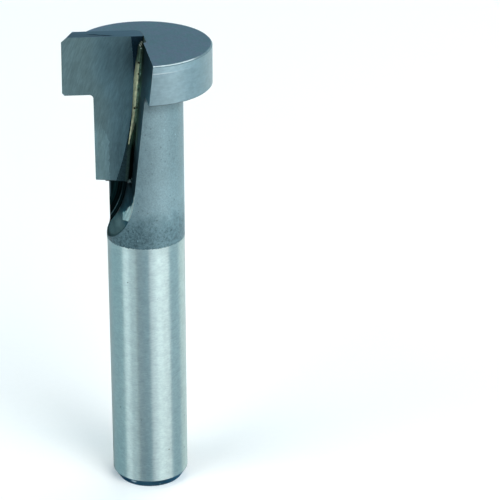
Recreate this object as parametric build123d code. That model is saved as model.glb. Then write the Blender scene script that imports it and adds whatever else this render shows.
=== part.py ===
from build123d import *
import os
from math import atan, cos, degrees, hypot, radians, sin, sqrt

# Keyhole router bit with a single flute, standing on the end of its shank.
# Millimetres, +Z up along the axis, origin at the centre of the shank end.
# The cutting face looks towards -Y and the cutting edge points to -X.
# A steel body is turned, milled and slotted, and a carbide plate shaped like
# half a tee is brazed into the slot.

# Turned steel body
SHANK_R = 3.175          # quarter inch shank
SHANK_END_R = 2.725      # flat of the shank end, inside the chamfer
CHAMFER_H = 0.71
GROUND_TOP = 22.27       # here the ground shank meets the blasted neck
NECK_R = 3.205           # the neck isn't ground, and is a hair thicker
WHEEL_CORNER = 0.6       # top of the shank, lifted to the neck by the wheel's round corner
DISC_R = 5.575
DISC_BOTTOM = 35.51
BODY_TOP = 38.78
NECK_FILLET = 0.5        # left by the turning tool under the disc
EDGE_BREAK = 0.12        # top edge of the disc
LOWER_BREAK = 0.06       # bottom edge of the disc

# Milled gullet: a flat floor, a leaning side wall and a round run-out
FLOOR_Y = 1.65
WALL_TOP_X = 0.109       # side wall at the top of the body
WALL_LEAN = 0.114        # the wall moves this far in X for each mm of height
MILL_R = 6.04            # radius of the milling cutter, left in the run-out
MILL_CORNER = 0.2        # its corner, left along the foot of the wall
TANGENT_Z = 26.27        # height where the wall turns into the run-out
FRONT_Y = -8.0           # in front of the whole body

# Cutting face, which leans back, and the plate and seat measured from it
FACE_Y = 1.73            # cutting face at the top of the body
FACE_LEAN = 0.1          # the face moves this far in Y for each mm of height
PLATE_T = 1.5
PLATE_END_X = 0.32       # inner end of the plate at the top
PLATE_FOOT = -12.04      # bottom of the plate at its inner end
FOOT_TURN = -6.5         # degrees, which sets the foot square to the wall
SEAT_FRONT = 1.6         # the seat slot runs this far in front of the face
JOINT = 0.05             # thickness of the brazed joint

# Corners of the cutting outline in the plane of the face, from the top left
# round to the bottom of the stem: (x, y) at the front, (x, y) at the back.
# The back is smaller, so that each cutting edge has clearance behind it.
OUTLINE = [
    ((-5.86, 0.20), (-5.22, 0.32)),
    ((-6.30, -0.14), (-5.59, -0.06)),
    ((-6.39, -4.33), (-5.66, -4.12)),
    ((-6.19, -4.54), (-5.45, -4.34)),
]
STEM_CORNER = ((-3.91, -4.60), (-2.65, -4.40))
STEM_FOOT = ((-3.985, -13.6), (-2.72, -13.6))
TOP_RIGHT = ((1.5, -0.04), (1.5, 0.11))
HEAD_FILLET = 0.33       # between the head and the stem of the plate

# Inner end of the plate in plan: (x from the end, depth behind the face)
END_BEVEL = [(0.0, 0.45), (-0.14, 1.2), (-0.4, 1.5)]
END_GAP = 0.022          # its front edge leaves the wall by this for each mm down

# Wheel that ground the cutting face, and its centre in the plane of the face
FACE_CUT = 0.04
FACE_WHEEL_R = 27.0
FACE_WHEEL_X = -27.56
FACE_WHEEL_Y = -2.4

# Braze left standing in the corner of the face and the wall, from the top
# down: (y in the plane of the face, left edge, right edge, how far the right
# edge stands in front of the face), with both edges measured from X = 0 at the
# top and moved along the leaning wall. Near its foot it leaves the wall.
BEAD = [
    (-0.38, 0.24, WALL_TOP_X, 0.08),
    (-0.75, 0.03, WALL_TOP_X, 0.70),
    (-2.05, -0.10, WALL_TOP_X, 0.55),
    (-3.4, -0.16, WALL_TOP_X, 0.60),
    (-5.6, -0.08, WALL_TOP_X, 0.42),
    (-6.9, -0.11, WALL_TOP_X, 0.12),
    (-8.0, -0.18, 0.0, 0.06),
    (-8.88, -0.21, -0.12, 0.03),
]
BEAD_BULGE = -0.15       # rise of its front, as a part of its chord
BEAD_EDGE = 0.02         # thickness of its right side where it has left the wall
DROP_R = 0.2             # drop of braze at the foot of the plate

# Room given to the solids that are trimmed later
REACH = 9.0
BLANK_BELOW = 14.0
BLANK_ABOVE = 3.0

os.makedirs("parts", exist_ok=True)

# Plane of the cutting face: its x is X, its y runs up the leaning face and its
# z points out of it. The level plane lies across the plate, and its y is the
# depth behind the face.
face = Plane(origin=(0, FACE_Y, BODY_TOP), x_dir=(1, 0, 0), z_dir=(0, -1, FACE_LEAN))
level = Plane(origin=face.origin, x_dir=face.x_dir, z_dir=face.y_dir)
# Direction of the corner where the face and the leaning wall meet
corner_dir = (face.x_dir * WALL_LEAN + face.y_dir).normalized()


def level_at(height):
    """Level plane at a height on the face, moved along the leaning wall."""
    return level.offset(height) * Pos(height * WALL_LEAN, 0, 0)


def turned_body():
    """The body as it leaves the lathe and the grinder."""
    shank = [
        (0, 0),
        (SHANK_END_R, 0),
        (SHANK_R, CHAMFER_H),
        (SHANK_R, GROUND_TOP - WHEEL_CORNER),
        (NECK_R, GROUND_TOP),
        (NECK_R, DISC_BOTTOM - NECK_FILLET),
    ]
    disc = [
        (NECK_R + NECK_FILLET, DISC_BOTTOM),
        (DISC_R - LOWER_BREAK, DISC_BOTTOM),
        (DISC_R, DISC_BOTTOM + LOWER_BREAK),
        (DISC_R, BODY_TOP - EDGE_BREAK),
        (DISC_R - EDGE_BREAK, BODY_TOP),
        (0, BODY_TOP),
        (0, 0),
    ]
    bow = NECK_FILLET * (1 - sqrt(0.5))
    profile = Polyline(*shank)
    profile += ThreePointArc(shank[-1], (NECK_R + bow, DISC_BOTTOM - bow), disc[0])
    profile += Polyline(*disc)
    return revolve(Plane.XZ * make_face(profile), Axis.Z)


def gullet():
    """What the milling cutter removes, from the run-out up through the disc."""
    tangent = (WALL_TOP_X + WALL_LEAN * (TANGENT_Z - BODY_TOP), TANGENT_Z)
    slope = hypot(1, WALL_LEAN)
    centre_x = tangent[0] - MILL_R / slope
    centre_z = tangent[1] + MILL_R * WALL_LEAN / slope
    middle = (centre_x + MILL_R * cos(radians(48)), centre_z - MILL_R * sin(radians(48)))
    bottom = (centre_x, centre_z - MILL_R)
    top = BODY_TOP + BLANK_ABOVE
    wall_top = (WALL_TOP_X + WALL_LEAN * BLANK_ABOVE, top)
    profile = ThreePointArc(tangent, middle, bottom)
    profile += Polyline(bottom, (centre_x, top), wall_top, tangent)
    sweep = extrude(Plane.XZ.offset(-FLOOR_Y) * make_face(profile), FLOOR_Y - FRONT_Y)
    floor = sweep.faces().sort_by(Axis.Y)[-1]
    wall_and_arc = floor.edges().sort_by(Axis.Z)[:-1].sort_by(Axis.X)[1:]
    return fillet(wall_and_arc, MILL_CORNER)


def blank(gap, front):
    """The plate before its outline is cut, larger by gap at back, end and foot.

    It reaches front millimetres in front of the cutting face.
    """
    end = PLATE_END_X + gap
    first, second, third = END_BEVEL
    plan = [
        (-REACH, -front),
        (end, -front),
        (end + first[0], first[1]),
        (end + second[0], second[1] + gap),
        (PLATE_END_X + third[0], third[1] + gap),
        (-REACH, PLATE_T + gap),
    ]
    length = (BLANK_BELOW + BLANK_ABOVE) * hypot(1, WALL_LEAN)
    section = level_at(-BLANK_BELOW) * make_face(Polyline(*plan, close=True))
    bar = extrude(section, length, dir=corner_dir)
    foot = PLATE_FOOT - gap
    below = Box(4 * REACH, REACH, 2 * REACH, align=(Align.CENTER, Align.MAX, Align.CENTER))
    return bar - face * Pos(PLATE_END_X + foot * WALL_LEAN, foot, 0) * Rot(0, 0, FOOT_TURN) * below


def outline(side):
    """Cutting outline at the front (0) or the back (1) of the plate."""
    x, y = STEM_CORNER[side]
    bow = HEAD_FILLET * (1 - sqrt(0.5))
    under = (x - HEAD_FILLET, y)
    stem = (x, y - HEAD_FILLET)
    foot = STEM_FOOT[side]
    right = TOP_RIGHT[side]
    wire = Polyline(right, *[corner[side] for corner in OUTLINE], under)
    wire += ThreePointArc(under, (x - bow, y - bow), stem)
    wire += Polyline(stem, foot, (right[0], foot[1]), right)
    return make_face(wire)


def carbide():
    """The cutter: half a tee, with clearance on its edges and a ground face."""
    plate = loft([face * outline(0), face.offset(-PLATE_T) * outline(1)], ruled=True)
    wheel = Cylinder(FACE_WHEEL_R, REACH, align=(Align.CENTER, Align.CENTER, Align.MIN))
    ground = face.offset(-FACE_CUT) * Pos(FACE_WHEEL_X, FACE_WHEEL_Y, 0) * wheel
    # A narrow crevice opens downwards between the end of the plate and the wall
    beside = Box(REACH, 4 * REACH, REACH, align=(Align.MIN, Align.CENTER, Align.MIN))
    turn = Rot(0, 0, -degrees(atan(WALL_LEAN + END_GAP)))
    crevice = face.offset(-END_BEVEL[0][1]) * Pos(PLATE_END_X, 0, 0) * turn * beside
    return (plate & blank(0, 0)) - ground - crevice


def bead_section(height, left_x, right_x, rise):
    """Section of the braze that fills the corner, with a bulging front."""
    left = (left_x, 2 * FACE_CUT)
    right = (right_x, -rise)
    inner = PLATE_END_X + JOINT if right_x == WALL_TOP_X else right_x + BEAD_EDGE
    deep = END_BEVEL[0][1]
    wire = SagittaArc(left, right, BEAD_BULGE * hypot(left_x - right_x, left[1] + rise))
    wire += Polyline(right, (inner, right[1]), (inner, deep), (left_x, deep), left)
    return level_at(height) * make_face(wire)


def braze(body, cutter, steel):
    """The joint behind, beside and under the plate, and what ran out of it."""
    joint = (blank(JOINT, 0) - blank(0, JOINT)) & body
    bead = loft([bead_section(*row) for row in BEAD], ruled=True)
    corner_x = PLATE_END_X + PLATE_FOOT * WALL_LEAN
    drop = face * Pos(corner_x - 0.12, PLATE_FOOT, 0.05) * Sphere(DROP_R)
    return joint + bead + drop - cutter - steel


turned = turned_body()
steel_body = turned - gullet() - blank(JOINT, SEAT_FRONT)
carbide_cutter = carbide()
braze_joint = braze(turned, carbide_cutter, steel_body)

export_step(steel_body, "parts/steel_body.step")
export_step(carbide_cutter, "parts/carbide_cutter.step")
export_step(braze_joint, "parts/braze_joint.step")
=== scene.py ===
import bpy
import bmesh
from functools import reduce
from math import cos, hypot, pi, radians, sin, tan
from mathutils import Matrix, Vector


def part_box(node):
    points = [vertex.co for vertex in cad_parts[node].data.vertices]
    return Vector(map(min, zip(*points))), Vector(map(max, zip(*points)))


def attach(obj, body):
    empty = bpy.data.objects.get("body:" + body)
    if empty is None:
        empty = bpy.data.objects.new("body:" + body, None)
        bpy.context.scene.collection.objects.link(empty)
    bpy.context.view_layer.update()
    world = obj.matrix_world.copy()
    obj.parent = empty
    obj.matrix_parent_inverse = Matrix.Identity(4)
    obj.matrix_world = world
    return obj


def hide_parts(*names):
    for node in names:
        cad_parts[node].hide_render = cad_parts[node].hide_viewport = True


bl_info = {
    "name": "Keyhole Router Bit",
    "version": (1, 0, 0),
    "blender": (4, 5, 0),
    "location": "View3D > Sidebar > Keyhole Bit",
    "description": "Finishes for a brazed keyhole router bit and a studio to show it in",
    "category": "Object",
}

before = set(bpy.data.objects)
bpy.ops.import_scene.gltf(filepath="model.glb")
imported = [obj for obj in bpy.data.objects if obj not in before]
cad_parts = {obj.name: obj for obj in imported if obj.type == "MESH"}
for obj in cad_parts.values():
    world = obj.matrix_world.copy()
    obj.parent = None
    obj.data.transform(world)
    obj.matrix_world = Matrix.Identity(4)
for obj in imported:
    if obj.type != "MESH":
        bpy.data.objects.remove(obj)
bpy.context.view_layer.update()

MM = 0.001

# Sizes and places that the finishes follow, in millimetres, most of them of the solids
CHAMFER_H = 0.71         # end of the shank
GROUND_TOP = 22.27       # the ground shank ends here
BODY_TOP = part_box("steel_body")[1].z / MM
LINE_Z = 38.16           # fine turned line round the disc
WALL_LEAN = 0.114        # the wall moves this far in X for each mm of height
FACE_TOP_Y = 1.73        # cutting face at the top of the body
FACE_LEAN = 0.1          # the face moves this far in Y for each mm of height
FACE_SLOPE = hypot(1, FACE_LEAN)         # length along the face for each mm of height
FACE_POINT = Vector((0, FACE_TOP_Y, BODY_TOP)) * MM
FACE_OUT = Vector((0, -1, FACE_LEAN)).normalized()
SCOOP_X = -7.318         # axis of the round run-out
SCOOP_Z = 26.954
CORNER_R = 5.78          # from that axis to where the corner of the milling cutter begins
WHEEL_X = -27.56         # circle that the grinding wheel left on the cutting face
WHEEL_Y = -2.4
WHEEL_R = 27.0
SCRATCH_X = 19.0         # centre of the arcs of scratches on the cutting face
SCRATCH_Y = -12.6
SCRATCH_R = 24.0         # radius that turns their angle into a length
DROP_X = -1.17           # drop of braze at the foot of the plate
DROP_Z = 26.8

# Largest nick in the chamfer of the shank: length over height, then x, stretched z, radius
KNOCK_FLAT = 1.8
KNOCK = (-1.78, 0.46 * KNOCK_FLAT, 0.28)

# Bead of braze: its ends, how many cuts refine it along its length, how far in front of the
# cutting face the other cuts lie, and how far behind it and how high the seen part begins
BEAD_FOOT = 29.75
BEAD_HEAD = 38.45
BEAD_CUTS = 88
BEAD_DEPTHS = (0.07, 0.14, 0.21, 0.28, 0.35, 0.42, 0.49, 0.56)
SEEN_BEHIND = 0.12
SEEN_ABOVE = 29.4

# Painted glints at the top of the bead, and pits in it: x, z, radius
BEAD_GLINTS = [(0.08, 38.28, 0.075), (0.17, 38.37, 0.065), (-0.02, 38.18, 0.06), (0.03, 38.02, 0.06)]
PITS = [(-0.16, 36.79, 0.09), (-0.20, 35.90, 0.09), (-0.60, 33.00, 0.12), (-0.40, 33.05, 0.11)]

# Heights between which flux fills the crevice beside the plate, each with its fade
FLUX_LOW = (29.3, 30.5)
FLUX_HIGH = (38.0, 37.5)

# Brightness by height: from, to, and the factors there
# SHANK_TONES is painted shade: the shank is darker towards its foot
SHANK_TONES = [(0.0, 22.0, 0.97, 1.03)]
# NECK_TONES: its second step is painted shade just under the disc
NECK_TONES = [(29.0, 27.0, 1.0, 1.14), (34.9, 35.2, 1.0, 0.45)]
WALL_TONES = [(38.5, 35.5, 0.55, 1.1), (31.0, 29.2, 1.0, 0.45), (27.0, 26.2, 1.0, 1.7)]
FACE_TONES = [(34.0, 37.5, 1.0, 0.72), (32.0, 29.5, 1.0, 0.92)]
# STRIP_TONES: its second step is painted reflection at the foot of the unground strip
STRIP_TONES = [(38.6, 36.0, 0.8, 1.2), (31.0, 29.0, 1.0, 2.0)]
BEAD_TONES = [(37.0, 36.4, 0.30, 0.66), (36.0, 35.2, 1.0, 1.30), (33.7, 33.0, 1.0, 0.78)]
STAIN_TONES = [(31.9, 31.0, 1.0, 0.35), (30.6, 29.8, 1.0, 0.25), (37.6, 37.0, 0.6, 1.0)]

# Small colours that go with the finishes
KNOCK_COLOUR = (0.50, 0.57, 0.60)
# Painted highlight: the turned line on the rim, coloured as the light it catches on its front left
TURNED_LINE_HIGHLIGHT = (0.30, 0.36, 0.38)         # turned line on the rim
# Painted highlight on the broken edge of the disc
EDGE_HIGHLIGHT = (0.54, 0.61, 0.62)            # broken edge of the disc
# Painted highlight along the line on the gullet floor where the cutter's corner begins
CORNER_GLINT = (0.10, 0.16, 0.17)         # line on the gullet floor
GLASSY_FLUX = (0.045, 0.090, 0.058)
# Alloy at the top of the seat, painted as a glint
SEAT_TOP_GLINT = (0.40, 0.46, 0.42)       # top of the seat
# Painted reflection: the foot of the unground strip takes the navy of the gullet wall mirrored in
# it
STRIP_FOOT_REFLECTION = (0.0065, 0.0135, 0.0155)     # foot of the unground strip
STAINED_STRIP = (0.012, 0.022, 0.019)
# Painted glints on the top of the bead
BEAD_TOP_GLINT = (0.46, 0.50, 0.44)
DROP_COLOUR = (0.10, 0.14, 0.14)
FLOOR_DARK = (0.97, 0.94, 0.94)          # tooth of the pale floor
FLOOR_LIGHT = (0.98, 0.95, 0.95)

# Dark edge tints of oxide, flux and sintered skin, which don't turn white at a glancing angle
OXIDE_TINT = {"Specular Tint": (0.1, 0.3, 0.4)}
FLUX_TINT = {"Specular Tint": (0.15, 0.20, 0.22)}
SKIN_TINT = {"Specular Tint": (0.1, 0.25, 0.3)}


# Small helpers for node trees

def add(tree, kind, values=None, **settings):
    """Add a node, set its properties, then set or link its inputs."""
    node = tree.nodes.new(kind)
    for name, value in settings.items():
        setattr(node, name, value)
    for key, value in (values or {}).items():
        join(tree, value, node.inputs[key])
    return node


def join(tree, value, socket):
    """Link a socket or set a constant."""
    if isinstance(value, bpy.types.NodeSocket):
        tree.links.new(value, socket)
    elif socket.type == "RGBA" and len(value) == 3:
        socket.default_value = (*value, 1.0)
    else:
        socket.default_value = value


def calc(tree, operation, a, b=0.0):
    """One step of arithmetic."""
    return add(tree, "ShaderNodeMath", {0: a, 1: b}, operation=operation).outputs[0]


def times(tree, *values):
    """All the values multiplied: of masks, where every one is on."""
    return reduce(lambda a, b: calc(tree, "MULTIPLY", a, b), values)


def total(tree, *values):
    """All the values added."""
    return reduce(lambda a, b: calc(tree, "ADD", a, b), values)


def linear(tree, value, scale, offset):
    """value * scale + offset"""
    values = {0: value, 1: scale, 2: offset}
    return add(tree, "ShaderNodeMath", values, operation="MULTIPLY_ADD").outputs[0]


def ramp(tree, value, low, high, bottom=0.0, top=1.0):
    """A smooth step of value from low to high."""
    values = {"Value": value, "From Min": low, "From Max": high, "To Min": bottom, "To Max": top}
    node = add(tree, "ShaderNodeMapRange", values, interpolation_type="SMOOTHSTEP")
    return node.outputs["Result"]


def band(tree, value, middle, half, soft):
    """A stripe of value about a middle, with soft sides."""
    away = calc(tree, "ABSOLUTE", calc(tree, "SUBTRACT", value, middle))
    return ramp(tree, away, half + soft, half - soft)


def blend(tree, factor, a, b):
    """Mix two colours."""
    node = tree.nodes.new("ShaderNodeMix")
    node.data_type = "RGBA"
    for index, value in ((0, factor), (6, a), (7, b)):
        join(tree, value, node.inputs[index])
    return node.outputs[2]


def mix_value(tree, factor, a, b):
    """Mix two numbers."""
    return add(tree, "ShaderNodeMix", {0: factor, 2: a, 3: b}).outputs[0]


def scaled(tree, vector, factor):
    """A vector times a number."""
    values = {0: vector, "Scale": factor}
    return add(tree, "ShaderNodeVectorMath", values, operation="SCALE").outputs[0]


def shade(tree, colour, factor):
    """Make a colour lighter or darker by a factor."""
    return scaled(tree, colour, factor)


def length(tree, vector):
    """Length of a vector."""
    return add(tree, "ShaderNodeVectorMath", {0: vector}, operation="LENGTH").outputs["Value"]


def distance(tree, a, b, centre_a, centre_b):
    """Distance from a centre in the plane of two coordinates."""
    offset = add(tree, "ShaderNodeCombineXYZ", {
        0: calc(tree, "SUBTRACT", a, centre_a),
        1: calc(tree, "SUBTRACT", b, centre_b),
    })
    return length(tree, offset.outputs[0])


def spotted(tree, x, z, spots):
    """Where the spots of a list lie."""
    mask = 0.0
    for spot_x, spot_z, radius in spots:
        near = ramp(tree, distance(tree, x, z, spot_x, spot_z), radius, radius * 0.4)
        mask = calc(tree, "MAXIMUM", near, mask)
    return mask


def in_front(tree, y, z):
    """Distance in front of the plane of the cutting face."""
    face_y = linear(tree, z, FACE_LEAN, FACE_TOP_Y - FACE_LEAN * BODY_TOP)
    return calc(tree, "SUBTRACT", face_y, y)


def noise(tree, place, scale, detail, stretch=(1, 1, 1), roughness=0.55, shift=(0, 0, 0)):
    """Noise about 0.5 on a stretched copy of the coordinates, in cells per millimetre."""
    mapped = add(tree, "ShaderNodeMapping", {"Vector": place, "Scale": stretch, "Location": shift})
    values = {"Vector": mapped.outputs[0], "Scale": scale, "Detail": detail, "Roughness": roughness}
    return add(tree, "ShaderNodeTexNoise", values).outputs["Fac"]


def specks(tree, place, scale, size, share, shift):
    """Small round specks in a share of the cells of a grid, in cells per millimetre."""
    mapped = add(tree, "ShaderNodeMapping", {"Vector": place, "Location": shift})
    cells = add(tree, "ShaderNodeTexVoronoi", {"Vector": mapped.outputs[0], "Scale": scale})
    chance = add(tree, "ShaderNodeSeparateXYZ", {0: cells.outputs["Color"]}).outputs[0]
    near = ramp(tree, cells.outputs["Distance"], size, size * 0.6)
    return times(tree, near, ramp(tree, chance, 1 - share, 1 - share + 0.01))


def vary(tree, pattern, amount, low=0.3):
    """A factor about 1 that follows a noise."""
    return ramp(tree, pattern, low, 1 - low, 1 - amount, 1 + amount)


def centred(tree, pattern, width):
    """A noise about 0.5 made one about 0, and width wide."""
    return linear(tree, pattern, width, -width / 2)


class Surface:
    """Where a point of a surface lies, in millimetres, and which way it faces."""

    def __init__(self, tree):
        coords = add(tree, "ShaderNodeTexCoord")
        self.place = scaled(tree, coords.outputs["Object"], 1 / MM)
        self.x, self.y, self.z = add(tree, "ShaderNodeSeparateXYZ", {0: self.place}).outputs
        facing = add(tree, "ShaderNodeSeparateXYZ", {0: coords.outputs["Normal"]})
        self.nx, self.ny, self.nz = facing.outputs
        flat = add(tree, "ShaderNodeCombineXYZ", {0: self.x, 1: self.y}).outputs[0]
        self.r = length(tree, flat)
        radial = add(tree, "ShaderNodeVectorMath", {0: flat}, operation="NORMALIZE")
        pair = {0: radial.outputs[0], 1: coords.outputs["Normal"]}
        dot = add(tree, "ShaderNodeVectorMath", pair, operation="DOT_PRODUCT")
        self.outward = dot.outputs["Value"]
        self.front = in_front(tree, self.y, self.z)


def by_height(tree, at, steps):
    """Brightness by height, from one of the lists above."""
    return times(tree, *[ramp(tree, at.z, *step) for step in steps])


def from_wall(tree, at):
    """Distance in X from the corner of the cutting face and the leaning wall."""
    return calc(tree, "SUBTRACT", at.x, linear(tree, at.z, WALL_LEAN, -WALL_LEAN * BODY_TOP))


def fluxed(tree, at):
    """Heights at which flux fills the crevice beside the plate."""
    return times(tree, ramp(tree, at.z, *FLUX_LOW), ramp(tree, at.z, *FLUX_HIGH))


def new_material(name):
    """An empty node material and its tree."""
    material = bpy.data.materials.new(name)
    material.use_nodes = True
    tree = material.node_tree
    tree.nodes.clear()
    return material, tree


def relief(tree, height, depth, strength=0.5):
    """Bump of a height in 0 to 1, over a depth in millimetres."""
    values = {"Height": height, "Distance": depth * MM, "Strength": strength}
    return add(tree, "ShaderNodeBump", values).outputs[0]


def metal(tree, colour, roughness, bump, constants=None):
    """A metal shader; the constants are set on its own sockets."""
    values = {"Base Color": colour, "Metallic": 1.0, "Roughness": roughness, "Normal": bump}
    values.update(constants or {})
    return add(tree, "ShaderNodeBsdfPrincipled", values).outputs[0]


def round_metal(tree, colour, roughness, bump, spread):
    """Metal with marks round the axis, which spread its highlights along the axis."""
    tangent = add(tree, "ShaderNodeTangent", direction_type="RADIAL", axis="Z").outputs[0]
    turned = {"Anisotropic": spread, "Anisotropic Rotation": 0.25, "Tangent": tangent}
    return metal(tree, colour, roughness, bump, turned)


def mix_shaders(tree, factor, a, b):
    """Mix two shaders."""
    return add(tree, "ShaderNodeMixShader", {0: factor, 1: a, 2: b}).outputs[0]


# Properties that a user would change

def colour_property(name, description, default):
    """A colour with its name and description."""
    return bpy.props.FloatVectorProperty(name=name, description=description, subtype="COLOR",
                                         size=3, default=default, min=0, max=1)


class SteelFinish(bpy.types.PropertyGroup):
    """Finish of the turned, ground and blasted steel body"""
    ground_colour: colour_property(
        "Ground shank", "Colour of the ground shank", (0.263, 0.336, 0.339))
    blasted_colour: colour_property(
        "Blasted neck", "Colour of the bead blasted neck", (0.136, 0.199, 0.217))
    foot_colour: colour_property(
        "Foot of the neck", "Colour of the foot of the neck, tinted by heat",
        (0.122, 0.206, 0.235))
    rim_colour: colour_property(
        "Turned rim", "Colour of the turned rim of the disc", (0.150, 0.217, 0.241))
    top_colour: colour_property(
        "Disc top", "Colour of the faced top of the disc", (0.060, 0.160, 0.207))
    top_tint: colour_property(
        "Disc top tint", "Second colour of the faced top, in soft clouds", (0.078, 0.150, 0.222))
    wall_colour: colour_property(
        "Gullet wall", "Colour of the side wall of the gullet", (0.100, 0.158, 0.183))
    smear_colour: colour_property(
        "Smear", "Colour of the flux and alloy that ran over the wall", (0.20, 0.34, 0.24))
    # Painted shade: the gullet floor is painted near-black as the shade of the recess under the
    # plate
    floor_shade_colour: colour_property(
        "Gullet floor", "Colour of the gullet floor, blackened by brazing",
        (0.0015, 0.005, 0.0055))
    # Painted light: the lower run-out, coloured as it looks when lit
    lit_scoop_colour: colour_property(
        "Run-out", "Colour of the round run-out of the gullet", (0.30, 0.305, 0.29))
    # The bare patch is bare steel, painted brighter as the light it reflects
    bare_and_lit_colour: colour_property(
        "Bare patch", "Colour of the bare steel on the run-out", (0.54, 0.58, 0.55))
    end_colour: colour_property(
        "Shank end", "Colour of the chamfer at the end of the shank", (0.050, 0.093, 0.125))
    ground_roughness: bpy.props.FloatProperty(
        name="Ground roughness", description="Roughness of the ground shank", default=0.34,
        min=0, max=1)
    blasted_roughness: bpy.props.FloatProperty(
        name="Blasted roughness", description="Roughness of the blasted neck", default=0.50,
        min=0, max=1)


class CarbideFinish(bpy.types.PropertyGroup):
    """Finish of the carbide cutter"""
    ground_colour: colour_property(
        "Ground face", "Colour of the ground cutting face", (0.053, 0.087, 0.092))
    cool_colour: colour_property(
        "Ground face by the braze", "Colour of the ground face near the braze",
        (0.048, 0.088, 0.101))
    raw_colour: colour_property(
        "Unground strip", "Colour of the sintered skin that wasn't ground",
        (0.006, 0.016, 0.024))
    land_colour: colour_property(
        "Lands", "Colour of the ground lands behind the cutting edges", (0.034, 0.110, 0.165))


class BrazeFinish(bpy.types.PropertyGroup):
    """Shape and finish of the brazed joint"""
    alloy_colour: colour_property(
        "Alloy", "Colour of the solidified brazing alloy", (0.30, 0.305, 0.20))
    stain_colour: colour_property(
        "Stain", "Colour of the alloy under flux, beside the wall", (0.100, 0.155, 0.110))
    seam_colour: colour_property(
        "Seam", "Colour of the thin seam where it was ground with the steel",
        (0.060, 0.105, 0.140))
    lumps: bpy.props.FloatProperty(
        name="Lumps", description="Height of the lumps on the bead", default=0.00004,
        min=0, unit="LENGTH", precision=6)
    pits: bpy.props.FloatProperty(
        name="Pits", description="Depth of the pits in the bead", default=0.00008,
        min=0, unit="LENGTH", precision=6)
    seed: bpy.props.IntProperty(
        name="Seed", description="Choice of the lumps", default=3, min=0)


class Studio(bpy.types.PropertyGroup):
    """Camera, floor and lights"""
    focal_length: bpy.props.FloatProperty(
        name="Focal length", description="Lens of the camera in millimetres", default=167.79,
        min=1)
    camera_place: bpy.props.FloatVectorProperty(
        name="Camera place", description="Place of the camera", subtype="TRANSLATION",
        unit="LENGTH", size=3, default=(-0.02227, -0.17376, 0.10003))
    pitch: bpy.props.FloatProperty(
        name="Pitch", description="How far the camera looks down", subtype="ANGLE",
        default=radians(24.36))
    heading: bpy.props.FloatProperty(
        name="Heading", description="How far the camera is turned to the right of +Y",
        subtype="ANGLE", default=radians(10.1))
    floor_radius: bpy.props.FloatProperty(
        name="Floor radius", description="Radius of the pale floor", unit="LENGTH", default=4.0,
        min=0.1)
    light_level: bpy.props.FloatProperty(
        name="Light level", description="Strength of all the lights", default=1.0, min=0)


# Steel body

def ground_shank(tree, at, finish):
    """Cylindrical grinding: fine short marks round the shank, and a few nicks."""
    marks = noise(tree, at.place, 1.0, 4, stretch=(2.6, 2.6, 13), roughness=0.6)
    cloud = noise(tree, at.place, 1.6, 3, shift=(4, 0, 2))
    grain = noise(tree, at.place, 4.5, 3, roughness=0.7, shift=(2, 7, 1))
    nicks = specks(tree, at.place, 1.3, 0.10, 0.10, shift=(0.3, 0.1, 0.55))
    # Painted shade: SHANK_TONES darkens the shank towards its foot
    tone = times(tree, vary(tree, marks, 0.10, low=0.25), vary(tree, cloud, 0.05),
                 vary(tree, grain, 0.05), by_height(tree, at, SHANK_TONES),
                 ramp(tree, nicks, 0, 1, 1.0, 0.45))
    rough = total(tree, finish.ground_roughness, ramp(tree, at.z, 9.0, 2.0, 0.0, 0.04),
                  ramp(tree, marks, 0.2, 0.8, -0.03, 0.03), ramp(tree, nicks, 0, 1, 0.0, 0.2))
    height = calc(tree, "SUBTRACT", marks, times(tree, nicks, 3.0))
    colour = shade(tree, finish.ground_colour, tone)
    return round_metal(tree, colour, rough, relief(tree, height, 0.003), 1.0)


def shank_end(tree, at, finish):
    """Dark turned chamfer with a few bright nicks, one of them large."""
    turned = noise(tree, at.place, 1.0, 3, stretch=(1.5, 1.5, 16))
    nicks = specks(tree, at.place, 2.4, 0.22, 0.14, shift=(0.8, 0.2, 0.1))
    knock = spotted(tree, at.x, times(tree, at.z, KNOCK_FLAT), [KNOCK])
    knock = times(tree, knock, ramp(tree, at.y, -1.0, -1.5))
    # Painted light: the chamfer is lighter towards +X, where the light falls
    tone = times(tree, vary(tree, turned, 0.3), ramp(tree, at.x, 0.5, 2.2, 1.0, 1.6))
    colour = shade(tree, finish.end_colour, tone)
    colour = blend(tree, nicks, colour, finish.ground_colour)
    colour = blend(tree, knock, colour, KNOCK_COLOUR)
    return metal(tree, colour, 0.4, relief(tree, turned, 0.012), OXIDE_TINT)


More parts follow.
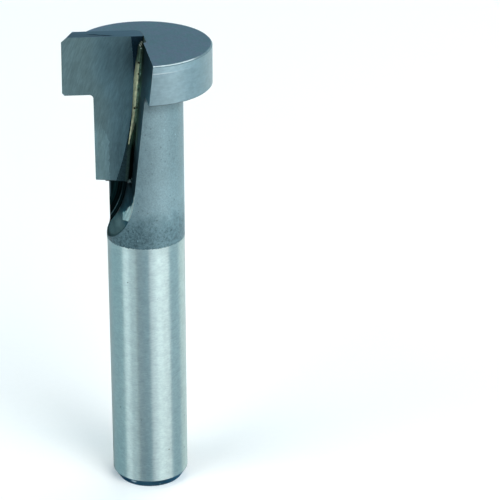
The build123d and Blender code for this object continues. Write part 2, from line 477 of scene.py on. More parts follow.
def blasted_neck(tree, at, finish):
    """Bead blasted skin: fine grit, painted shade below the disc, painted light towards +X, and
    mottled at its foot.
    """
    grit = noise(tree, at.place, 7.0, 4, roughness=0.75)
    cloud = noise(tree, at.place, 1.1, 3, shift=(1, 5, 3))
    coarse = noise(tree, at.place, 4.2, 3, roughness=0.7, shift=(2, 9, 4))
    wander = centred(tree, noise(tree, at.place, 1.2, 3, shift=(7, 2, 1)), 2.4)
    # The foot of the neck is darker and mottled, most of all on the side towards the gullet
    left = ramp(tree, calc(tree, "SUBTRACT", at.x, times(tree, at.y, 0.45)), 2.6, -1.4)
    foot = times(tree, ramp(tree, total(tree, at.z, wander), 26.0, 23.4),
                 linear(tree, left, 0.2, 0.8))
    mottled = times(tree, ramp(tree, coarse, 0.3, 0.62, 0.62, 1.3), 0.50)
    # Painted shade: the neck darkens towards the disc above it
    below = ramp(tree, total(tree, at.z, centred(tree, coarse, 0.5)), 33.2, 34.9)
    dark = specks(tree, at.place, 2.6, 0.22, 0.30, shift=(0.2, 0.7, 0.4))
    dark = times(tree, dark, linear(tree, foot, 0.45, 0.4))
    light = specks(tree, at.place, 2.1, 0.13, 0.10, shift=(0.6, 0.3, 0.9))
    # Painted light: the neck is lighter towards +X, where the light falls
    tone = times(tree, vary(tree, grit, 0.18, low=0.28), ramp(tree, at.x, -0.8, 3.0, 0.82, 1.22),
                 vary(tree, cloud, 0.04), by_height(tree, at, NECK_TONES),
                 mix_value(tree, foot, 1.0, mottled), ramp(tree, below, 0, 1, 1.0, 0.66),
                 linear(tree, dark, -0.7, 1.0), linear(tree, light, 0.7, 1.0))
    colour = shade(tree, blend(tree, foot, finish.blasted_colour, finish.foot_colour), tone)
    rough = total(tree, finish.blasted_roughness, ramp(tree, grit, 0.3, 0.7, -0.05, 0.05))
    height = calc(tree, "SUBTRACT", grit, times(tree, dark, 0.6))
    return metal(tree, colour, rough, relief(tree, height, 0.022, 0.6))


def turned_rim(tree, at, finish):
    """Turned rim of the disc, with one fine turned line carrying a painted highlight, a band above
    it painted lighter on its front, and painted light towards +X.
    """
    marks = noise(tree, at.place, 1.0, 3, stretch=(1.6, 1.6, 7), shift=(3, 1, 7))
    cloud = noise(tree, at.place, 2.4, 3, shift=(0, 3, 1))
    near = ramp(tree, at.y, -2.6, -4.9)
    # Painted highlight: the turned line is lighter on the front left of the rim
    line = times(tree, band(tree, at.z, LINE_Z, 0.03, 0.03), near,
                 ramp(tree, at.x, 2.6, 0.2, 0.15, 1.0))
    # Painted light: the band above the line is lighter on the front, and the rim is lighter towards
    # +X
    above = times(tree, ramp(tree, at.z, LINE_Z - 0.02, LINE_Z + 0.06), near)
    tone = times(tree, vary(tree, marks, 0.05), vary(tree, cloud, 0.06),
                 ramp(tree, at.x, 0.0, 4.2, 0.84, 1.12), linear(tree, above, 0.12, 1.0))
    colour = shade(tree, blend(tree, line, finish.rim_colour, TURNED_LINE_HIGHLIGHT), tone)
    height = calc(tree, "SUBTRACT", marks, times(tree, line, 2.0))
    return round_metal(tree, colour, 0.44, relief(tree, height, 0.006), 0.35)


def disc_edge(tree, at, finish):
    """Break along the top edge of the disc, with a painted highlight on its front left."""
    wear = noise(tree, at.place, 3.0, 3)
    # Painted highlight along the front left of the break
    bright = times(tree, ramp(tree, at.y, -2.2, -4.6), ramp(tree, at.x, 4.2, 3.0),
                   ramp(tree, at.z, 38.705, 38.725))
    colour = blend(tree, bright, shade(tree, finish.rim_colour, 1.05), EDGE_HIGHLIGHT)
    colour = shade(tree, colour, ramp(tree, wear, 0.3, 0.6, 0.9, 1.1))
    return metal(tree, colour, 0.85, relief(tree, wear, 0.004))


def disc_top(tree, at, finish):
    """Faced top of the disc, dull and nearly even."""
    fine = noise(tree, at.place, 6.0, 4, roughness=0.65)
    drawn = noise(tree, at.place, 1.0, 3, stretch=(6, 1.2, 1), shift=(2, 0, 0))
    cloud = noise(tree, at.place, 1.7, 3, roughness=0.7, shift=(1, 2, 8))
    tone = times(tree, vary(tree, fine, 0.07), vary(tree, drawn, 0.04),
                 ramp(tree, at.y, 0.0, 5.0, 1.0, 1.06), ramp(tree, at.x, -0.5, -4.0, 1.0, 1.15))
    tint = ramp(tree, cloud, 0.35, 0.65)
    colour = shade(tree, blend(tree, tint, finish.top_colour, finish.top_tint), tone)
    return metal(tree, colour, 0.42, relief(tree, fine, 0.006, 0.4))


def gullet_wall(tree, at, finish):
    """Side wall, darker at its top, with painted shade beside the bead and in the crevice by the
    plate, and flux and alloy run over it.
    """
    # Painted shade: the wall darkens towards its corner with the plate and the bead
    tone = times(tree, by_height(tree, at, WALL_TONES), ramp(tree, at.front, 1.5, 4.0, 0.62, 1.0),
                 ramp(tree, at.front, 4.0, 7.3, 1.0, 1.75))
    wall = shade(tree, finish.wall_colour, tone)
    edge = centred(tree, noise(tree, at.place, 2.2, 3, shift=(0, 1, 6)), 1.2)
    smear = times(tree, ramp(tree, total(tree, at.front, edge), 3.0, 2.1),
                  ramp(tree, at.z, 30.6, 31.4))
    level = calc(tree, "MAXIMUM", band(tree, at.z, 35.2, 0.6, 0.5),
                 ramp(tree, at.z, 37.4, 36.8, 0.12, 0.42))
    wall = blend(tree, smear, wall, shade(tree, finish.smear_colour, level))
    slant = total(tree, at.front, times(tree, at.z, 0.35))
    drip = times(tree, band(tree, slant, 13.05, 0.09, 0.06), band(tree, at.z, 31.7, 1.3, 0.3))
    wall = blend(tree, drip, wall, finish.smear_colour)
    # Painted shade: the seat beside the plate is darkened as the shade of the crevice; glassy flux
    # lies in it, and the alloy at its top is painted as a glint
    black = times(tree, ramp(tree, at.front, 1.8, 1.2), ramp(tree, at.z, 26.5, 27.0))
    wall = shade(tree, wall, linear(tree, black, -0.85, 1.0))
    seat = times(tree, ramp(tree, at.front, 1.7, 1.5), ramp(tree, at.nx, -0.8, -0.9))
    wall = blend(tree, times(tree, seat, fluxed(tree, at)), wall, GLASSY_FLUX)
    return blend(tree, times(tree, seat, ramp(tree, at.z, 38.25, 38.35)), wall, SEAT_TOP_GLINT)


def run_out(tree, at, finish):
    """Round run-out, navy above and painted lit grey-green below, darker along its lower rim."""
    wander = centred(tree, noise(tree, at.place, 1.6, 3, shift=(5, 0, 2)), 0.5)
    # Painted light: the lower run-out takes a lit grey-green colour
    low = ramp(tree, total(tree, at.z, wander), 24.5, 23.65)
    rim = times(tree, ramp(tree, at.r, 2.97, 3.06), ramp(tree, at.z, 24.7, 24.5))
    scoop = shade(tree, finish.lit_scoop_colour, linear(tree, rim, -0.42, 1.0))
    return blend(tree, low, shade(tree, finish.wall_colour, 0.82), scoop)


def gullet_floor(tree, at, finish, colour):
    """Lay the floor over a colour: arcs left by the cutter on a floor painted near-black as the
    shade of the recess under the plate, and a corner painted darker still as shade.
    """
    from_axis = distance(tree, at.x, at.z, SCOOP_X, SCOOP_Z)
    arcs = noise(tree, add(tree, "ShaderNodeCombineXYZ", {0: from_axis}).outputs[0], 2.6, 2)
    floor = shade(tree, finish.floor_shade_colour, ramp(tree, arcs, 0.42, 0.62, 0.2, 3.2))
    colour = blend(tree, ramp(tree, at.ny, -0.25, -0.9), colour, floor)
    # Painted shade in the corner of the floor and the wall
    corner = times(tree, ramp(tree, at.y, 1.38, 1.47), ramp(tree, at.ny, -0.97, -0.9))
    return blend(tree, corner, colour, shade(tree, finish.floor_shade_colour, 0.5))


def floor_lines(tree, at, finish, colour):
    """Lay over a colour a painted highlight on the line where the cutter's corner begins, and a
    painted highlight on the left lip.
    """
    from_axis = distance(tree, at.x, at.z, SCOOP_X, SCOOP_Z)
    # Painted highlight where the fillet of the cutter's corner begins
    line = times(tree, band(tree, from_axis, CORNER_R, 0.035, 0.03),
                 ramp(tree, at.y, 1.3, 1.45), ramp(tree, at.z, 25.9, 24.2, 0.12, 1.0))
    # Painted highlight on the left lip of the floor
    lip = times(tree, ramp(tree, at.r, 3.06, 3.16), ramp(tree, at.x, -2.2, -2.5),
                ramp(tree, at.z, 24.9, 25.6))
    colour = blend(tree, line, colour, CORNER_GLINT)
    return blend(tree, lip, colour, shade(tree, finish.wall_colour, 0.6))


def bare_steel(tree, at):
    """Where the run-out is bare: a patch with a torn upper edge, and the edge above it."""
    broad = noise(tree, at.place, 1.0, 2, stretch=(0, 1.2, 0), roughness=0.8, shift=(0.37, 0, 0.61))
    teeth = noise(tree, at.place, 1.0, 1, stretch=(0, 3.5, 0), shift=(0, 0.3, 0))
    tear = total(tree, centred(tree, broad, 2.2), centred(tree, teeth, 0.9))
    upper = total(tree, linear(tree, at.y, -0.68, 24.22), tear)
    lower = linear(tree, at.y, -0.33, 23.76)
    side = total(tree, at.x, linear(tree, at.y, -0.178, 1.85), times(tree, tear, 0.2))
    patch = times(tree, ramp(tree, calc(tree, "SUBTRACT", upper, at.z), -0.03, 0.05),
                  ramp(tree, calc(tree, "SUBTRACT", at.z, lower), -0.02, 0.05),
                  ramp(tree, side, -0.03, 0.05), ramp(tree, at.y, 0.5, 0.3))
    worn = ramp(tree, noise(tree, at.place, 3.0, 2), 0.40, 0.48)
    edge = times(tree, ramp(tree, at.r, 2.84, 2.96), ramp(tree, at.y, 0.0, -1.0),
                 band(tree, at.z, 26.2, 0.7, 0.2), worn)
    return calc(tree, "MAXIMUM", patch, edge)


def gullet(tree, at, finish):
    """Milled gullet: navy wall with braze run over it, floor painted black as shade, round run-out.
    """
    milled = noise(tree, at.place, 1.0, 3, stretch=(6, 0.8, 1.5))
    fine = noise(tree, at.place, 5.0, 4, roughness=0.7, shift=(3, 3, 0))
    streaks = noise(tree, at.place, 1.0, 2, stretch=(0.5, 2.0, 0.6), shift=(0, 2, 1))
    scooped = ramp(tree, at.nz, 0.14, 0.30)
    colour = blend(tree, scooped, gullet_wall(tree, at, finish), run_out(tree, at, finish))
    colour = gullet_floor(tree, at, finish, colour)
    colour = shade(tree, colour, times(tree, vary(tree, milled, 0.15), vary(tree, fine, 0.12)))
    colour = floor_lines(tree, at, finish, colour)
    bare = bare_steel(tree, at)
    # Bare steel on the run-out, painted bright as the light it reflects
    bare_tone = times(tree, vary(tree, fine, 0.15), vary(tree, streaks, 0.2))
    colour = blend(tree, bare, colour, shade(tree, finish.bare_and_lit_colour, bare_tone))
    height = total(tree, milled, bare)
    return metal(tree, colour, linear(tree, bare, 0.1, 0.38), relief(tree, height, 0.012),
                 FLUX_TINT)


def steel_material(finish):
    """Ground, blasted, turned and milled steel, told apart by place and facing."""
    material, tree = new_material("steel_finish")
    at = Surface(tree)

    # Turned skin faces straight out, and the underside of the disc was blasted with the neck
    skin = times(tree, ramp(tree, at.outward, 0.96, 0.975), ramp(tree, at.r, 3.0, 3.1))
    under = times(tree, ramp(tree, at.nz, -0.05, -0.1), band(tree, at.z, 35.45, 0.45, 0.05))
    neck = calc(tree, "MAXIMUM", skin, under)
    ragged = noise(tree, at.place, 7.0, 3, stretch=(1, 1, 0.3), roughness=0.8)
    height = total(tree, at.z, centred(tree, ragged, 0.28))
    on_shank = ramp(tree, height, GROUND_TOP + 0.02, GROUND_TOP - 0.02)
    on_end = ramp(tree, at.z, CHAMFER_H + 0.02, CHAMFER_H - 0.02)
    on_rim = times(tree, skin, ramp(tree, at.r, 5.2, 5.3))
    on_top = times(tree, ramp(tree, at.nz, 0.9, 0.95), ramp(tree, at.z, 38.5, 38.6))
    on_edge = times(tree, band(tree, at.nz, 0.6, 0.4, 0.05), ramp(tree, at.z, 38.6, 38.65),
                    ramp(tree, at.r, 5.42, 5.46))

    result = mix_shaders(tree, neck, gullet(tree, at, finish), blasted_neck(tree, at, finish))
    for mask, zone in ((on_rim, turned_rim), (on_top, disc_top), (on_edge, disc_edge),
                       (on_shank, ground_shank), (on_end, shank_end)):
        result = mix_shaders(tree, mask, result, zone(tree, at, finish))
    add(tree, "ShaderNodeOutputMaterial", {0: result})
    return material


class KEYHOLE_BIT_OT_steel(bpy.types.Operator):
    """Give the steel body its ground, blasted, turned and milled finishes"""
    bl_idname = "keyhole_bit.steel"
    bl_label = "Finish Steel Body"

    def execute(self, context):
        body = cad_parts["steel_body"]
        body.material_slots[0].material = steel_material(context.scene.steel_finish)
        return {"FINISHED"}


# Carbide cutter

def scratch_arcs(tree, at, up):
    """Coordinates laid out round the centre of the arcs of scratches."""
    turn = calc(tree, "ARCTAN2", calc(tree, "SUBTRACT", up, SCRATCH_Y),
                calc(tree, "SUBTRACT", at.x, SCRATCH_X))
    return add(tree, "ShaderNodeCombineXYZ", {
        0: distance(tree, at.x, up, SCRATCH_X, SCRATCH_Y),
        1: times(tree, turn, SCRATCH_R),
    }).outputs[0]


def plate_clouds(tree, at):
    """Soft clouds that the face and the unground strip share."""
    return noise(tree, at.place, 0.9, 3, shift=(2, 1, 5))


def ground_face(tree, at, up, finish):
    """Ground cutting face with arcs of scratches, darker towards the braze."""
    arcs = scratch_arcs(tree, at, up)
    fine = noise(tree, arcs, 1.0, 4, stretch=(7.5, 1.1, 1), roughness=0.7)
    broad = noise(tree, arcs, 1.0, 3, stretch=(2.0, 0.45, 1), shift=(3, 8, 0))
    inward = ramp(tree, at.x, -5.2, -1.6)
    # A lighter, freshly ground patch low on the stem, with a torn side
    tear = centred(tree, noise(tree, at.place, 3.0, 3, stretch=(1, 1, 1.4), roughness=0.7), 0.5)
    side = total(tree, ramp(tree, at.z, 30.2, 32.4, -2.72, -3.45), tear)
    fresh = times(tree, ramp(tree, calc(tree, "SUBTRACT", side, at.x), 0.0, 0.09),
                  ramp(tree, at.z, 32.2, 30.6))
    # Painted light: it is also lighter right beside the bead
    beside = times(tree, ramp(tree, from_wall(tree, at), -0.95, -0.35),
                   ramp(tree, at.z, 36.5, 35.5))
    tone = times(tree, vary(tree, fine, 0.16, low=0.28), vary(tree, broad, 0.08),
                 vary(tree, plate_clouds(tree, at), 0.05),
                 mix_value(tree, inward, 1.03, by_height(tree, at, FACE_TONES)),
                 linear(tree, fresh, 0.38, 1.0), linear(tree, beside, 0.38, 1.0))
    lean = ramp(tree, at.z, 33.0, 36.5, 0.0, 0.9)
    cool = ramp(tree, total(tree, at.x, lean), -3.6, -1.9)
    colour = shade(tree, blend(tree, cool, finish.ground_colour, finish.cool_colour), tone)
    height = total(tree, fine, times(tree, fresh, 0.5))
    rough = ramp(tree, broad, 0.2, 0.8, 0.34, 0.44)
    return metal(tree, colour, rough, relief(tree, height, 0.004))


def raw_strip(tree, at, finish):
    """Sintered skin that the wheel didn't reach, stained beside the foot of the bead, with its foot
    painted as the reflection of the gullet wall.
    """
    grain = noise(tree, at.place, 8.0, 3, roughness=0.7)
    side = from_wall(tree, at)
    edge = total(tree, side, centred(tree, plate_clouds(tree, at), 0.3))
    stain = times(tree, ramp(tree, edge, -0.32, -0.12), ramp(tree, at.z, 31.2, 30.4))
    # Painted reflection: the foot of the strip takes the navy of the gullet wall mirrored in it
    colour = blend(tree, ramp(tree, at.z, 31.0, 29.0), finish.raw_colour, STRIP_FOOT_REFLECTION)
    colour = blend(tree, stain, colour, STAINED_STRIP)
    tone = times(tree, vary(tree, grain, 0.3), by_height(tree, at, STRIP_TONES))
    colour = shade(tree, colour, tone)
    # Glassy flux on the plate's end, darker lower down as painted shade in the crevice
    end = times(tree, ramp(tree, side, -0.02, 0.10), ramp(tree, at.z, 38.4, 38.1))
    glass = shade(tree, GLASSY_FLUX, ramp(tree, at.z, *FLUX_LOW, 0.05, 1.0))
    colour = blend(tree, end, colour, glass)
    return metal(tree, colour, 0.45, relief(tree, grain, 0.012), SKIN_TINT)


def edge_lands(tree, at, raw, finish):
    """Lands behind the edges; on the top one a dark chipped line shows the raw skin."""
    drawn = noise(tree, at.place, 1.0, 3, stretch=(1.2, 9, 1.2), shift=(1, 4, 0))
    wander = centred(tree, noise(tree, at.place, 1.8, 3), 0.24)
    along = total(tree, linear(tree, at.x, -0.26, -0.27), at.front)
    on_top = ramp(tree, at.nz, 0.5, 0.7)
    chip = times(tree, band(tree, total(tree, along, wander), 0.02, 0.07, 0.04),
                 band(tree, at.x, -3.1, 0.9, 0.35), on_top)
    step = times(tree, ramp(tree, along, -0.1, 0.02), ramp(tree, at.x, -2.0, -3.0), on_top)
    glint = times(tree, band(tree, at.front, -0.34, 0.035, 0.03), band(tree, at.x, -0.3, 0.5, 0.2))
    tone = times(tree, vary(tree, drawn, 0.07), ramp(tree, step, 0, 1, 1.0, 0.82),
                 linear(tree, glint, 0.3, 1.0))
    height = calc(tree, "SUBTRACT", drawn, times(tree, chip, 3.0))
    colour = shade(tree, finish.land_colour, tone)
    return mix_shaders(tree, chip, metal(tree, colour, 0.42, relief(tree, height, 0.006)), raw)


def carbide_material(finish):
    """Sintered carbide: ground face with arcs of scratches, raw strip, ground lands."""
    material, tree = new_material("carbide_finish")
    at = Surface(tree)
    up = linear(tree, at.z, FACE_SLOPE, -FACE_SLOPE * BODY_TOP)
    raw = raw_strip(tree, at, finish)
    reached = distance(tree, at.x, up, WHEEL_X, WHEEL_Y)
    reached = ramp(tree, reached, WHEEL_R + 0.01, WHEEL_R - 0.01)
    face = mix_shaders(tree, reached, raw, ground_face(tree, at, up, finish))
    on_face = ramp(tree, at.ny, -0.75, -0.85)
    result = mix_shaders(tree, on_face, edge_lands(tree, at, raw, finish), face)
    add(tree, "ShaderNodeOutputMaterial", {0: result})
    return material


class KEYHOLE_BIT_OT_cutter(bpy.types.Operator):
    """Give the carbide cutter its ground faces and its raw strip"""
    bl_idname = "keyhole_bit.cutter"
    bl_label = "Finish Carbide Cutter"

    def execute(self, context):
        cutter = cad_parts["carbide_cutter"]
        cutter.material_slots[0].material = carbide_material(context.scene.carbide_finish)
        return {"FINISHED"}


# Brazed joint

def bead_alloy(tree, at, fine, finish):
    """Solidified alloy: bright on its bulging front, stained by flux beside the wall."""
    lumps = noise(tree, at.place, 3.2, 4, roughness=0.65)
    side = from_wall(tree, at)
    # Painted light: the bead is lighter along its left edge
    tone = times(tree, vary(tree, lumps, 0.25), vary(tree, fine, 0.15),
                 by_height(tree, at, BEAD_TONES), ramp(tree, side, -0.02, -0.12, 1.0, 1.35))
    bright = shade(tree, finish.alloy_colour, tone)
    mottle = ramp(tree, noise(tree, at.place, 2.6, 3, shift=(1, 6, 2)), 0.35, 0.65, 0.45, 1.4)
    dim = times(tree, mottle, by_height(tree, at, STAIN_TONES))
    stained = shade(tree, finish.stain_colour, dim)
    wander = noise(tree, at.place, 3.4, 3, roughness=0.7, shift=(2, 5, 5))
    edge = total(tree, side, centred(tree, wander, 0.24), ramp(tree, at.z, 32.6, 31.6, 0.0, -0.05))
    colour = blend(tree, ramp(tree, edge, 0.06, 0.14), bright, stained)
    colour = blend(tree, ramp(tree, at.z, 36.6, 37.1), colour, shade(tree, stained, 0.55))
    # Painted glints at the top of the bead
    colour = blend(tree, spotted(tree, at.x, at.z, BEAD_GLINTS), colour, BEAD_TOP_GLINT)
    pits = spotted(tree, at.x, at.z, PITS)
    # Painted shade: the pits are painted nearly black as the shade inside them
    colour = shade(tree, colour, linear(tree, pits, -0.93, 1.0))
    # The drop at the foot of the plate, with painted shade on its left and a painted highlight on
    # its right
    drop = shade(tree, DROP_COLOUR, ramp(tree, at.x, -1.28, -1.10, 0.3, 2.2))
    colour = blend(tree, ramp(tree, at.z, 27.3, 27.2), colour, drop)
    height = calc(tree, "SUBTRACT", lumps, times(tree, pits, 2.0))
    rough = ramp(tree, fine, 0.3, 0.7, 0.52, 0.64)
    return metal(tree, colour, rough, relief(tree, height, 0.03, 0.6))


def ground_seam(tree, at, fine, finish):
    """Thin seam, ground with the steel at its top, painted dark below it as shade in the crevice,
    and covered by flux there.
    """
    # Painted shade: the seam darkens below its top, inside the crevice
    tone = times(tree, vary(tree, fine, 0.15), ramp(tree, at.z, 38.3, 38.7, 0.05, 1.0))
    colour = blend(tree, fluxed(tree, at), shade(tree, finish.seam_colour, tone), GLASSY_FLUX)
    return metal(tree, colour, 0.42, relief(tree, fine, 0.006))


def braze_material(finish):
    """Solidified brazing alloy: a bright bead and drop, and a dark ground seam."""
    material, tree = new_material("braze_finish")
    at = Surface(tree)
    fine = noise(tree, at.place, 9.0, 3, roughness=0.7, shift=(4, 4, 1))
    bead = times(tree, ramp(tree, at.front, -0.14, -0.10), ramp(tree, at.z, 29.5, 29.7))
    near = distance(tree, at.x, at.z, DROP_X, DROP_Z)
    drop = times(tree, ramp(tree, near, 0.34, 0.28), ramp(tree, at.front, -0.2, -0.15))
    result = mix_shaders(tree, calc(tree, "MAXIMUM", bead, drop),
                         ground_seam(tree, at, fine, finish), bead_alloy(tree, at, fine, finish))
    add(tree, "ShaderNodeOutputMaterial", {0: result})
    return material


def seen(face):
    """Whether a face of the joint belongs to the bead in front of the plate."""
    middle = face.calc_center_median()
    in_view = (middle - FACE_POINT).dot(FACE_OUT) > -SEEN_BEHIND * MM
    return in_view and middle.z > SEEN_ABOVE * MM


def cut(sheet, point, normal):
    """Cut the faces of the bead along a plane."""
    faces = [face for face in sheet.faces if seen(face)]
    edges = {edge for face in faces for edge in face.edges}
    verts = {vert for face in faces for vert in face.verts}
    bmesh.ops.bisect_plane(sheet, geom=[*faces, *edges, *verts], dist=1e-8,
                           plane_co=point, plane_no=normal)


def refined_joint(node):
    """A copy of the joint's solid, cut finely where the bead is seen."""
    sheet = bmesh.new()
    sheet.from_mesh(node.data)
    bmesh.ops.remove_doubles(sheet, verts=sheet.verts, dist=1e-7)
    along = Vector((WALL_LEAN, FACE_LEAN, 1.0)).normalized()
    for step in range(BEAD_CUTS):
        height = BEAD_FOOT + step * (BEAD_HEAD - BEAD_FOOT) / (BEAD_CUTS - 1)
        cut(sheet, Vector((0, 0, height * MM)), along)
    for depth in BEAD_DEPTHS:
        cut(sheet, FACE_POINT + FACE_OUT * depth * MM, FACE_OUT)
    bmesh.ops.triangulate(sheet, faces=sheet.faces)
    mesh = bpy.data.meshes.new("braze_bead")
    sheet.to_mesh(mesh)
    sheet.free()
    return mesh


def bead_tree():
    """Geometry nodes that raise lumps and sink pits where the bead is seen."""
    tree = bpy.data.node_groups.new("bead_lumps", "GeometryNodeTree")
    sockets = tree.interface
    sockets.new_socket("Geometry", in_out="INPUT", socket_type="NodeSocketGeometry")
    for name in ("Lumps", "Pits", "Seed"):
        sockets.new_socket(name, in_out="INPUT", socket_type="NodeSocketFloat")
    sockets.new_socket("Finish", in_out="INPUT", socket_type="NodeSocketMaterial")
    sockets.new_socket("Geometry", in_out="OUTPUT", socket_type="NodeSocketGeometry")
    given = add(tree, "NodeGroupInput").outputs

    place = scaled(tree, add(tree, "GeometryNodeInputPosition").outputs[0], 1 / MM)
    x, y, z = add(tree, "ShaderNodeSeparateXYZ", {0: place}).outputs
    room = times(tree, ramp(tree, in_front(tree, y, z), 0.0, 0.10),
                 ramp(tree, z, BEAD_FOOT + 0.05, BEAD_FOOT + 0.35),
                 ramp(tree, z, BEAD_HEAD + 0.15, BEAD_HEAD - 0.15))
    values = {"Vector": place, "W": given["Seed"], "Scale": 2.6, "Detail": 3.0, "Roughness": 0.6}
    swell = add(tree, "ShaderNodeTexNoise", values, noise_dimensions="4D").outputs[0]
    rise = times(tree, linear(tree, swell, 2.0, -0.8), given["Lumps"])
    sunk = times(tree, spotted(tree, x, z, PITS), given["Pits"])
    height = times(tree, calc(tree, "SUBTRACT", rise, sunk), room)
    offset = scaled(tree, add(tree, "GeometryNodeInputNormal").outputs[0], height)
    moved = add(tree, "GeometryNodeSetPosition", {"Geometry": given["Geometry"], "Offset": offset})
    whole = add(tree, "GeometryNodeRealizeInstances", {0: moved.outputs[0]})
    made = add(tree, "GeometryNodeSetMaterial", {0: whole.outputs[0], "Material": given["Finish"]})
    add(tree, "NodeGroupOutput", {0: made.outputs[0]})
    return tree


class KEYHOLE_BIT_OT_braze(bpy.types.Operator):
    """Make the brazed joint with its uneven bead"""
    bl_idname = "keyhole_bit.braze"
    bl_label = "Make Brazed Joint"

    def execute(self, context):
        finish = context.scene.braze_finish
        material = braze_material(finish)
        joint = bpy.data.objects.new("braze_bead", refined_joint(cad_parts["braze_joint"]))
        joint.data.materials.append(material)
        context.scene.collection.objects.link(joint)
        modifier = joint.modifiers.new("lumps", "NODES")
        modifier.node_group = bead_tree()
        given = {"Lumps": finish.lumps, "Pits": finish.pits, "Seed": float(finish.seed),
                 "Finish": material}
        for socket in modifier.node_group.interface.items_tree:
            if socket.in_out == "INPUT" and socket.name in given:
                modifier[socket.identifier] = given[socket.name]
        shaped = joint.evaluated_get(context.evaluated_depsgraph_get())
        mesh = bpy.data.meshes.new_from_object(shaped)
        joint.modifiers.remove(modifier)
        joint.data = mesh
        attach(joint, "root")
        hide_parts("braze_joint")
        return {"FINISHED"}


# Studio

LIGHT_DISTANCE = 0.70
LOW = (0.02, 0.40)       # foot and top of the lower softboxes
HIGH = (0.40, 1.10)      # foot and top of the upper ones
LIGHTS = [
    # name, azimuth from the camera and half width in degrees, row, radiance in red, green, blue
    ("right_softbox", 50, 20, LOW, (8.05, 7.80, 7.75)),
    ("right_inner", 20, 10, LOW, (4.70, 4.60, 4.90)),
    ("right_high", 35, 15, HIGH, (4.60, 5.00, 4.80)),
    ("right_side", 90, 20, LOW, (1.00, 2.00, 2.50)),
    ("right_back", 130, 20, LOW, (4.30, 4.80, 4.60)),
    ("left_softbox", -60, 10, LOW, (5.30, 5.80, 6.00)),
    ("left_inner", -40, 10, LOW, (2.10, 2.60, 2.90)),
    ("left_high", -60, 30, HIGH, (3.00, 2.90, 2.70)),
    ("left_side", -100, 30, LOW, (0.10, 1.20, 1.60)),
    ("back_high", 170, 20, HIGH, (2.60, 2.60, 2.60)),
    ("front_low", -8, 18, LOW, (0.05, 0.40, 0.80)),
    ("front_high", 0, 10, HIGH, (0.05, 1.00, 1.20)),
]
AIR_COLOUR = (0.85, 0.95, 1.0, 1.0)
AIR_LEVEL = 0.04


def softbox(name, azimuth, half, row, radiance, studio):
    """An upright softbox that faces the axis of the bit."""
    foot, top = row
    turn = radians(azimuth) - studio.heading - pi / 2
    outward = Vector((cos(turn), sin(turn), 0))
    light = bpy.data.lights.new(name, "AREA")
    light.shape = "RECTANGLE"
    light.size = 2 * LIGHT_DISTANCE * tan(radians(half))
    light.size_y = top - foot
    strongest = max(radiance)
    light.energy = strongest * light.size * light.size_y * pi * studio.light_level
    light.color = [value / strongest for value in radiance]
    item = bpy.data.objects.new(name, light)
    item.location = outward * LIGHT_DISTANCE + Vector((0, 0, (foot + top) / 2))
    item.rotation_euler = outward.to_track_quat("Z", "Y").to_euler()
    item.visible_camera = False
    bpy.context.scene.collection.objects.link(item)


def floor_material():
    """Plain pale floor with a very fine tooth."""
    material, tree = new_material("pale_floor")
    at = Surface(tree)
    tooth = noise(tree, at.place, 2.0, 3)
    colour = blend(tree, ramp(tree, tooth, 0.3, 0.7), FLOOR_DARK, FLOOR_LIGHT)
    values = {"Base Color": colour, "Roughness": 0.7, "Normal": relief(tree, tooth, 0.02, 0.2)}
    shader = add(tree, "ShaderNodeBsdfPrincipled", values)
    add(tree, "ShaderNodeOutputMaterial", {0: shader.outputs[0]})
    return material


def make_floor(scene, radius):
    """A round floor under the bit."""
    mesh = bpy.data.meshes.new("floor")
    sheet = bmesh.new()
    bmesh.ops.create_circle(sheet, cap_ends=True, segments=96, radius=radius)
    sheet.to_mesh(mesh)
    sheet.free()
    mesh.materials.append(floor_material())
    floor = bpy.data.objects.new("floor", mesh)
    scene.collection.objects.link(floor)


def make_air(scene):
    """The faint light of the room."""
    world = bpy.data.worlds.new("studio_air")
    world.use_nodes = True
    background = world.node_tree.nodes["Background"]
    background.inputs["Color"].default_value = AIR_COLOUR
    background.inputs["Strength"].default_value = AIR_LEVEL
    scene.world = world
    scene.view_settings.view_transform = "Standard"


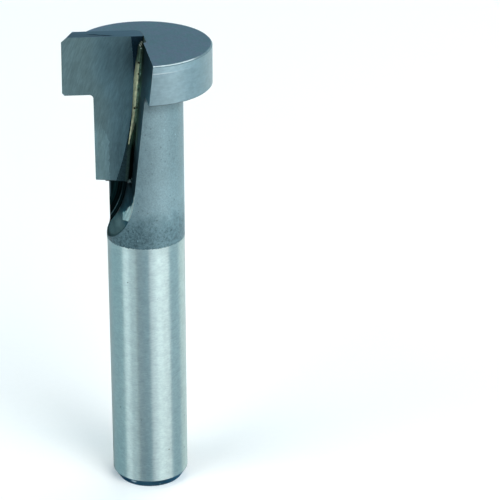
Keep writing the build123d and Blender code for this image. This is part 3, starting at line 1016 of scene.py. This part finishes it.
def make_camera(scene, studio):
    """The camera, which stands level and looks down on the bit."""
    camera = bpy.data.cameras.new("camera")
    camera.lens = studio.focal_length
    camera.sensor_width = 36
    camera.clip_start = 0.01
    holder = bpy.data.objects.new("camera", camera)
    holder.location = studio.camera_place
    holder.rotation_euler = (pi / 2 - studio.pitch, 0, -studio.heading)
    scene.collection.objects.link(holder)
    scene.camera = holder


class KEYHOLE_BIT_OT_stage(bpy.types.Operator):
    """Make the pale floor, the soft lights and the camera"""
    bl_idname = "keyhole_bit.stage"
    bl_label = "Make Studio"

    def execute(self, context):
        studio = context.scene.studio
        make_floor(context.scene, studio.floor_radius)
        for row in LIGHTS:
            softbox(*row, studio)
        make_air(context.scene)
        make_camera(context.scene, studio)
        return {"FINISHED"}


class KEYHOLE_BIT_PT_panel(bpy.types.Panel):
    """Sidebar panel with the parts of the bit and their finishes"""
    bl_idname = "KEYHOLE_BIT_PT_panel"
    bl_label = "Keyhole Router Bit"
    bl_space_type = "VIEW_3D"
    bl_region_type = "UI"
    bl_category = "Keyhole Bit"

    def draw(self, context):
        for operator, group in PANEL_ROWS.items():
            box = self.layout.box()
            box.operator(operator)
            settings = getattr(context.scene, group)
            for name in settings.__annotations__:
                box.prop(settings, name)


PANEL_ROWS = {
    "keyhole_bit.stage": "studio",
    "keyhole_bit.steel": "steel_finish",
    "keyhole_bit.cutter": "carbide_finish",
    "keyhole_bit.braze": "braze_finish",
}
GROUPS = {
    "studio": Studio,
    "steel_finish": SteelFinish,
    "carbide_finish": CarbideFinish,
    "braze_finish": BrazeFinish,
}
CLASSES = [
    *GROUPS.values(),
    KEYHOLE_BIT_OT_stage,
    KEYHOLE_BIT_OT_steel,
    KEYHOLE_BIT_OT_cutter,
    KEYHOLE_BIT_OT_braze,
    KEYHOLE_BIT_PT_panel,
]


def register():
    for item in CLASSES:
        bpy.utils.register_class(item)
    for name, group in GROUPS.items():
        setattr(bpy.types.Scene, name, bpy.props.PointerProperty(type=group))


def unregister():
    for name in GROUPS:
        delattr(bpy.types.Scene, name)
    for item in reversed(CLASSES):
        bpy.utils.unregister_class(item)


def main():
    register()
    bpy.ops.keyhole_bit.stage()
    bpy.ops.keyhole_bit.steel()
    bpy.ops.keyhole_bit.cutter()
    bpy.ops.keyhole_bit.braze()


if __name__ == "__main__":
    main()
